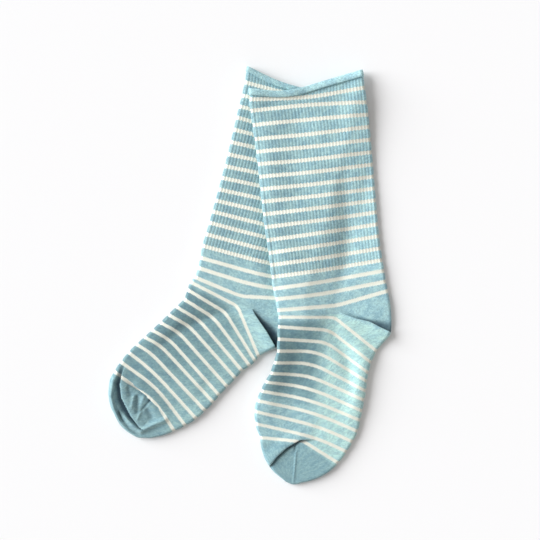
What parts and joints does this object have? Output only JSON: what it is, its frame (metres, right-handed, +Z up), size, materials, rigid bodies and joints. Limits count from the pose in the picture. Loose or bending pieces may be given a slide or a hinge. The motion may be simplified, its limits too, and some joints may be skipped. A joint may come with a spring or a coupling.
{
  "type": "pair of socks",
  "caption": "Striped knitted mid-calf socks laid flat, one crossing over the other, with ribbed legs, rolled welts, and plain heels and toes.",
  "frame": {"origin": "centre of the pair's plan box, on the surface it lies on", "axes": "+Y towards the mouths of the socks, +X to the right seen from above, +Z up"},
  "size_m": [0.1844, 0.2724, 0.0123],
  "materials": {
    "knit_over": "soft cotton knit, blue-green heather with narrow pale stripes",
    "knit_under": "soft cotton knit, blue-green heather with narrow pale stripes"
  },
  "bodies": {
    "root": {"sock_over": "knit_over", "sock_under": "knit_under"}
  },
  "joints": []
}
